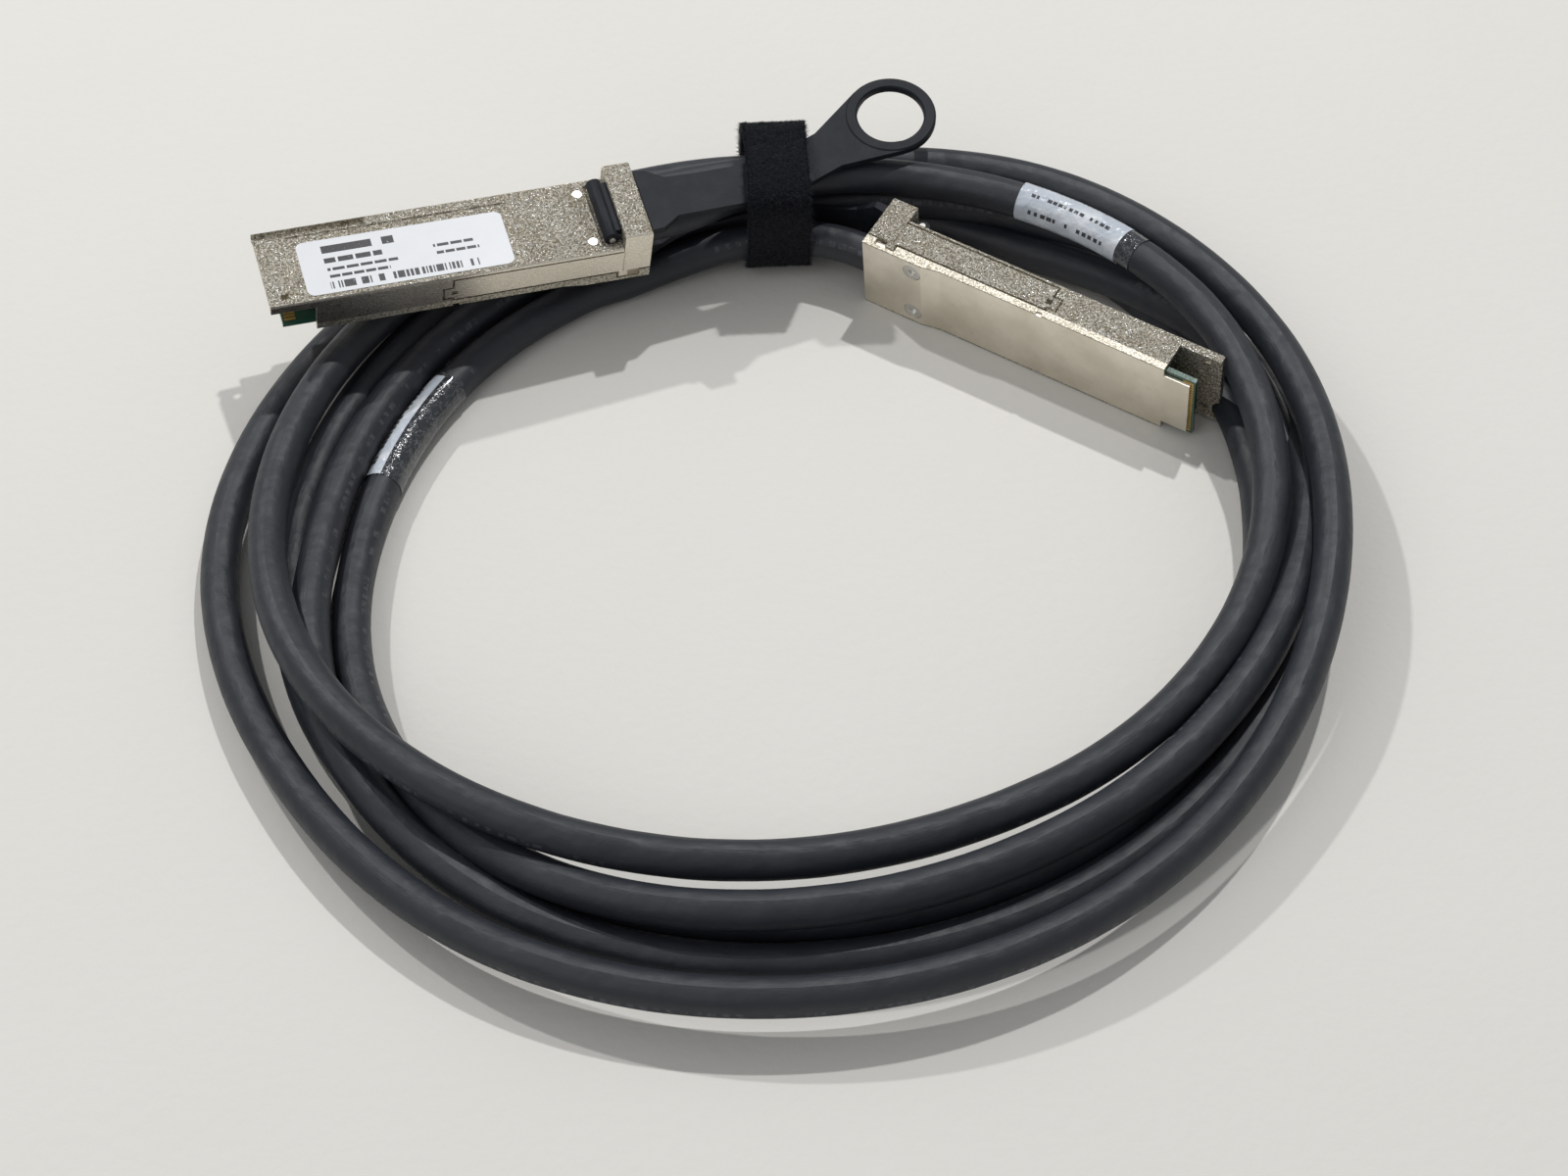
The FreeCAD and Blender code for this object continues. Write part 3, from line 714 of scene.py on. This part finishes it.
bpy.ops.object.select_all(action="DESELECT")
bpy.ops.mesh.primitive_grid_add(x_subdivisions=200, y_subdivisions=30, size=1)
strap = bpy.context.object
strap.name = "strap_band"
for vertex in strap.data.vertices:
    u, v = vertex.co.x + 0.5, vertex.co.y
    fray = 0.16 * noise.noise(Vector((u * 60, v * 3, 0))) * abs(v) * 2
    felt = 0.14 * noise.noise(Vector((u * 90, v * 14, 3)))
    round_edge = 3.5 * max(0.0, abs(v) * 2 - 0.9)
    vertex.co = on_strap(u, v * (strap_width - 0.6) + fray, 0.6 + felt - round_edge)
bpy.ops.object.mode_set(mode="EDIT")
bpy.ops.mesh.select_all(action="SELECT")
bpy.ops.mesh.remove_doubles(threshold=1e-6)
bpy.ops.object.mode_set(mode="OBJECT")
outwards(strap)
thick = strap.modifiers.new("thickness", "SOLIDIFY")
thick.thickness = strap_thickness * MM
thick.offset = 1
bpy.ops.object.modifier_apply(modifier="thickness")
outwards(strap)

# %% [markdown]
# Seen close, the strap is a felt of tiny loops. Thousands of short fibres are set on the band, and
# each is only two narrow faces. At this size they are seen as a fringe along the edges and a dull
# velvet within. Every fifth one stands at an edge, and none hangs down under the bundle. They are
# made as one mesh from lists of corners and faces, because no primitive makes a field of fibres.

# %% Strap fibres
random.seed(11)
fibres = 30000
fibre_root = 0.9
fibre_half_width = 0.04 * MM
lowest_fibre = 1.5 * MM
corners, faces = [], []
for k in range(fibres):
    u, v = random.random(), random.uniform(-0.5, 0.5)
    if k % 5 == 0:
        v = random.choice((-0.5, 0.5)) * random.uniform(0.97, 1.0)
    root = on_strap(u, v * (strap_width - 0.5), fibre_root)
    top = on_strap(u, v * (strap_width - 0.5), fibre_root + 1)
    if root.z < lowest_fibre:
        continue
    out = (top - root).normalized()
    lean = Vector([random.uniform(-1, 1) for _ in range(3)])
    lean = (lean - out * lean.dot(out)).normalized()
    side = out.cross(lean) * fibre_half_width
    rise = random.uniform(0.3, 0.8) * MM
    middle = root + out * rise + lean * rise * 0.7
    tip = root + out * rise * random.uniform(0.7, 1.5) + lean * rise * random.uniform(1.2, 2.2)
    base = len(corners)
    corners += [root - side, root + side, middle + side, middle - side, tip]
    faces += [(base, base + 1, base + 2, base + 3), (base + 3, base + 2, base + 4)]
pile_mesh = bpy.data.meshes.new("strap_pile")
pile_mesh.from_pydata(corners, [], faces)
pile = bpy.data.objects.new("strap_pile", pile_mesh)
bpy.context.scene.collection.objects.link(pile)


def felt_finish(name, dark, light):
    """Dull black felt: rough, almost without shine, lighter where the pile is thin."""
    t = Tree(name, Roughness=0.95, Specular_IOR_Level=0.15)
    t.shader.inputs["Sheen Weight"].default_value = 0.12
    t.bump(t.noise(1900, 4, 0.7), 0.0004, 0.8)
    return t.set(Base_Color=t.mix(t.noise(1500, 3, 0.7).smooth(0.4, 0.75), dark, light))


dress(strap, felt_finish("strap_felt", (0.0025, 0.0032, 0.0055), (0.008, 0.0095, 0.014)))
dress(pile, felt_finish("strap_fibre", (0.0035, 0.0045, 0.0075), (0.024, 0.028, 0.036)))
for piece in (strap, pile):
    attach(piece, "cable")
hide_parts("cable_strap")
on_cable += [strap, pile]
print("strap faces", len(strap.data.polygons), "fibres", len(faces) // 2,
      "highest", round(max(v.co.z for v in strap.data.vertices) / MM, 2))

# %% [markdown]
# ## Floor and light
# The cable lies on a pale floor, which is only a stage: it takes the shadows and gives the metal
# something to reflect. It has no marks of its own beyond a slow change of tone.

# %% Floor
bpy.ops.object.select_all(action="DESELECT")
bpy.ops.mesh.primitive_plane_add(size=6, location=(0, 0, 0))
floor = bpy.context.object
floor.name = "floor"
t = Tree("floor_paint", Roughness=0.8)
t.bump(t.noise(400, 3), 0.0004, 0.3)
t.set(Base_Color=t.mix(t.noise(9, 4), (0.73, 0.71, 0.665), (0.77, 0.752, 0.71)))
dress(floor, t.material)
print("floor", tuple(round(c, 2) for c in floor.dimensions))


# %% [markdown]
# Two small lamps stand behind the cable, one on each side. A small lamp gives a crisp shadow, and
# two of them give the layered shadows of a hall with several lights. A wide weak lamp in front and
# a plain grey sky keep the dark sides readable.

# %% Lamps and world
def lamp(name, place, aim_at, size, power):
    """A round lamp at a place, turned towards another place."""
    data = bpy.data.lights.new(name, "AREA")
    data.shape = "DISK"
    data.size = size
    data.energy = power
    lamp_object = bpy.data.objects.new(name, data)
    lamp_object.location = place
    way = Vector(aim_at) - Vector(place)
    lamp_object.rotation_euler = way.to_track_quat("-Z", "Y").to_euler()
    bpy.context.scene.collection.objects.link(lamp_object)


lamp("key_right", (0.36, 0.78, 1.6), (0, -0.05, 0), 0.05, 13.0)
lamp("key_left", (-0.80, 0.74, 1.25), (0, -0.05, 0), 0.05, 8.5)
lamp("fill", (-0.9, -0.9, 1.3), (0, 0, 0), 1.2, 4.0)
world = bpy.data.worlds.new("world")
world.use_nodes = True
sky = world.node_tree.nodes["Background"]
sky.inputs["Color"].default_value = (0.95, 0.97, 1.0, 1)
sky.inputs["Strength"].default_value = 0.36
bpy.context.scene.world = world
bpy.context.scene.view_settings.view_transform = "Standard"
print("lamps", len(bpy.data.lights))
